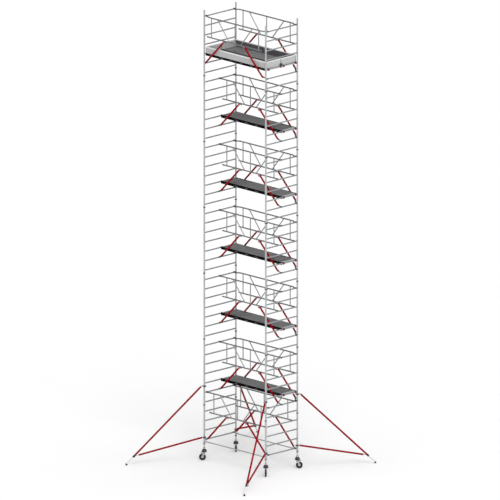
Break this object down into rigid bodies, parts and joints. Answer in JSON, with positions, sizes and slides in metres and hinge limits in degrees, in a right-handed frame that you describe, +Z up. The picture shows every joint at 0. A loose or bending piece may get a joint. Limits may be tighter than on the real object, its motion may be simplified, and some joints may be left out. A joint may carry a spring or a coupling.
{
  "type": "mobile tower scaffold",
  "caption": "Tall mobile scaffold tower: ladder frames, guardrail units, hatch platforms and toe boards, standing on braked castors and swing-out telescoping stabilisers.",
  "frame": {"origin": "on the ground, midway between the four uprights", "axes": "+Z up; X runs from one end frame to the other, Y across the end frames"},
  "size_m": [4.9984, 5.451, 13.6625],
  "materials": {
    "aluminium": "drawn tube, satin",
    "guardrail_metal": "drawn tube, satin, with red coated legs",
    "deck_grey": "film faced plywood, anti-slip grain",
    "hatch_grey": "film faced plywood, anti-slip grain",
    "toe_board_grey": "light grey coated board",
    "dark_steel": "dark satin steel",
    "spindle_steel": "zinc plated steel",
    "black_rubber": "matt black",
    "red_coating": "satin red coating"
  },
  "bodies": {
    "tower": {"base_frame_left": "aluminium", "lower_frames_left": "aluminium", "upper_frames_left": "aluminium", "base_frame_right": "aluminium", "lower_frames_right": "aluminium", "upper_frames_right": "aluminium", "guardrail_base_front": "guardrail_metal", "guardrail_base_back": "guardrail_metal", "guardrail_1_middle": "guardrail_metal", "guardrail_1_back": "guardrail_metal", "guardrail_2_middle": "guardrail_metal", "guardrail_2_back": "guardrail_metal", "guardrail_3_middle": "guardrail_metal", "guardrail_3_back": "guardrail_metal", "guardrail_4_middle": "guardrail_metal", "guardrail_4_back": "guardrail_metal", "guardrail_5_middle": "guardrail_metal", "guardrail_5_back": "guardrail_metal", "guardrail_top_front": "guardrail_metal", "guardrail_top_back": "guardrail_metal", "platform_1": "deck_grey", "platform_2": "deck_grey", "platform_3": "deck_grey", "platform_4": "deck_grey", "platform_5": "deck_grey", "platform_top_front": "deck_grey", "platform_top_back": "deck_grey", "toe_boards": "toe_board_grey", "base_brace_front": "aluminium", "base_brace_back": "aluminium"},
    "hatch_1": {"hatch_1": "hatch_grey"},
    "hatch_2": {"hatch_2": "hatch_grey"},
    "hatch_3": {"hatch_3": "hatch_grey"},
    "hatch_4": {"hatch_4": "hatch_grey"},
    "hatch_5": {"hatch_5": "hatch_grey"},
    "hatch_top": {"hatch_top": "hatch_grey"},
    "leg_front_left": {"leg_front_left": "spindle_steel"},
    "castor_fork_front_left": {"castor_fork_front_left": "dark_steel"},
    "wheel_front_left": {"wheel_front_left": "black_rubber"},
    "brake_pedal_front_left": {"brake_pedal_front_left": "dark_steel"},
    "stabiliser_front_left": {"stabiliser_front_left": "red_coating"},
    "stabiliser_leg_front_left": {"stabiliser_leg_front_left": "aluminium"},
    "leg_back_left": {"leg_back_left": "spindle_steel"},
    "castor_fork_back_left": {"castor_fork_back_left": "dark_steel"},
    "wheel_back_left": {"wheel_back_left": "black_rubber"},
    "brake_pedal_back_left": {"brake_pedal_back_left": "dark_steel"},
    "stabiliser_back_left": {"stabiliser_back_left": "red_coating"},
    "stabiliser_leg_back_left": {"stabiliser_leg_back_left": "aluminium"},
    "leg_front_right": {"leg_front_right": "spindle_steel"},
    "castor_fork_front_right": {"castor_fork_front_right": "dark_steel"},
    "wheel_front_right": {"wheel_front_right": "black_rubber"},
    "brake_pedal_front_right": {"brake_pedal_front_right": "dark_steel"},
    "stabiliser_front_right": {"stabiliser_front_right": "red_coating"},
    "stabiliser_leg_front_right": {"stabiliser_leg_front_right": "aluminium"},
    "leg_back_right": {"leg_back_right": "spindle_steel"},
    "castor_fork_back_right": {"castor_fork_back_right": "dark_steel"},
    "wheel_back_right": {"wheel_back_right": "black_rubber"},
    "brake_pedal_back_right": {"brake_pedal_back_right": "dark_steel"},
    "stabiliser_back_right": {"stabiliser_back_right": "red_coating"},
    "stabiliser_leg_back_right": {"stabiliser_leg_back_right": "aluminium"}
  },
  "joints": [
    {"name": "hatch_1_hinge", "type": "hinge", "parent": "tower", "child": "hatch_1", "pos_m": [0.81, 0.5295, 2.3562], "axis": [-1, 0, 0], "range_deg": [0, 90]},
    {"name": "hatch_2_hinge", "type": "hinge", "parent": "tower", "child": "hatch_2", "pos_m": [-0.81, 0.5295, 4.3562], "axis": [-1, 0, 0], "range_deg": [0, 90]},
    {"name": "hatch_3_hinge", "type": "hinge", "parent": "tower", "child": "hatch_3", "pos_m": [0.81, 0.5295, 6.3562], "axis": [-1, 0, 0], "range_deg": [0, 90]},
    {"name": "hatch_4_hinge", "type": "hinge", "parent": "tower", "child": "hatch_4", "pos_m": [-0.81, 0.5295, 8.3562], "axis": [-1, 0, 0], "range_deg": [0, 90]},
    {"name": "hatch_5_hinge", "type": "hinge", "parent": "tower", "child": "hatch_5", "pos_m": [0.81, 0.5295, 10.3562], "axis": [-1, 0, 0], "range_deg": [0, 90]},
    {"name": "hatch_top_hinge", "type": "hinge", "parent": "tower", "child": "hatch_top", "pos_m": [-0.81, 0.5225, 12.3562], "axis": [-1, 0, 0], "range_deg": [0, 90]},
    {"name": "leg_front_left_height", "type": "slide", "parent": "tower", "child": "leg_front_left", "axis": [0, 0, 1], "range_m": [-0.25, 0.09]},
    {"name": "castor_swivel_front_left", "type": "hinge", "parent": "leg_front_left", "child": "castor_fork_front_left", "pos_m": [-1.2875, -0.65, 0.3], "axis": [0, 0, 1], "continuous": true},
    {"name": "wheel_spin_front_left", "type": "hinge", "parent": "castor_fork_front_left", "child": "wheel_front_left", "pos_m": [-1.3264, -0.6889, 0.1], "axis": [0.7071, -0.7071, 0], "continuous": true},
    {"name": "brake_pedal_front_left_press", "type": "hinge", "parent": "castor_fork_front_left", "child": "brake_pedal_front_left", "pos_m": [-1.3186, -0.6811, 0.244], "axis": [0.7071, -0.7071, 0], "range_deg": [0, 14]},
    {"name": "stabiliser_front_left_swing", "type": "hinge", "parent": "tower", "child": "stabiliser_front_left", "pos_m": [-1.2875, -0.65, 2.248], "axis": [0, 0, 1], "range_deg": [-60, 60]},
    {"name": "stabiliser_leg_front_left_slide", "type": "slide", "parent": "stabiliser_front_left", "child": "stabiliser_leg_front_left", "axis": [-0.358, -0.62, -0.6982], "range_m": [-0.2, 0.4]},
    {"name": "leg_back_left_height", "type": "slide", "parent": "tower", "child": "leg_back_left", "axis": [0, 0, 1], "range_m": [-0.25, 0.09]},
    {"name": "castor_swivel_back_left", "type": "hinge", "parent": "leg_back_left", "child": "castor_fork_back_left", "pos_m": [-1.2875, 0.65, 0.3], "axis": [0, 0, 1], "continuous": true},
    {"name": "wheel_spin_back_left", "type": "hinge", "parent": "castor_fork_back_left", "child": "wheel_back_left", "pos_m": [-1.3264, 0.6889, 0.1], "axis": [-0.7071, -0.7071, 0], "continuous": true},
    {"name": "brake_pedal_back_left_press", "type": "hinge", "parent": "castor_fork_back_left", "child": "brake_pedal_back_left", "pos_m": [-1.3186, 0.6811, 0.244], "axis": [-0.7071, -0.7071, 0], "range_deg": [0, 14]},
    {"name": "stabiliser_back_left_swing", "type": "hinge", "parent": "tower", "child": "stabiliser_back_left", "pos_m": [-1.2875, 0.65, 2.248], "axis": [0, 0, 1], "range_deg": [-60, 60]},
    {"name": "stabiliser_leg_back_left_slide", "type": "slide", "parent": "stabiliser_back_left", "child": "stabiliser_leg_back_left", "axis": [-0.358, 0.62, -0.6982], "range_m": [-0.2, 0.4]},
    {"name": "leg_front_right_height", "type": "slide", "parent": "tower", "child": "leg_front_right", "axis": [0, 0, 1], "range_m": [-0.25, 0.09]},
    {"name": "castor_swivel_front_right", "type": "hinge", "parent": "leg_front_right", "child": "castor_fork_front_right", "pos_m": [1.2875, -0.65, 0.3], "axis": [0, 0, 1], "continuous": true},
    {"name": "wheel_spin_front_right", "type": "hinge", "parent": "castor_fork_front_right", "child": "wheel_front_right", "pos_m": [1.3264, -0.6889, 0.1], "axis": [0.7071, 0.7071, 0], "continuous": true},
    {"name": "brake_pedal_front_right_press", "type": "hinge", "parent": "castor_fork_front_right", "child": "brake_pedal_front_right", "pos_m": [1.3186, -0.6811, 0.244], "axis": [0.7071, 0.7071, 0], "range_deg": [0, 14]},
    {"name": "stabiliser_front_right_swing", "type": "hinge", "parent": "tower", "child": "stabiliser_front_right", "pos_m": [1.2875, -0.65, 2.248], "axis": [0, 0, 1], "range_deg": [-60, 60]},
    {"name": "stabiliser_leg_front_right_slide", "type": "slide", "parent": "stabiliser_front_right", "child": "stabiliser_leg_front_right", "axis": [0.358, -0.62, -0.6982], "range_m": [-0.2, 0.4]},
    {"name": "leg_back_right_height", "type": "slide", "parent": "tower", "child": "leg_back_right", "axis": [0, 0, 1], "range_m": [-0.25, 0.09]},
    {"name": "castor_swivel_back_right", "type": "hinge", "parent": "leg_back_right", "child": "castor_fork_back_right", "pos_m": [1.2875, 0.65, 0.3], "axis": [0, 0, 1], "continuous": true},
    {"name": "wheel_spin_back_right", "type": "hinge", "parent": "castor_fork_back_right", "child": "wheel_back_right", "pos_m": [1.3264, 0.6889, 0.1], "axis": [-0.7071, 0.7071, 0], "continuous": true},
    {"name": "brake_pedal_back_right_press", "type": "hinge", "parent": "castor_fork_back_right", "child": "brake_pedal_back_right", "pos_m": [1.3186, 0.6811, 0.244], "axis": [-0.7071, 0.7071, 0], "range_deg": [0, 14]},
    {"name": "stabiliser_back_right_swing", "type": "hinge", "parent": "tower", "child": "stabiliser_back_right", "pos_m": [1.2875, 0.65, 2.248], "axis": [0, 0, 1], "range_deg": [-60, 60]},
    {"name": "stabiliser_leg_back_right_slide", "type": "slide", "parent": "stabiliser_back_right", "child": "stabiliser_leg_back_right", "axis": [0.358, 0.62, -0.6982], "range_m": [-0.2, 0.4]}
  ]
}
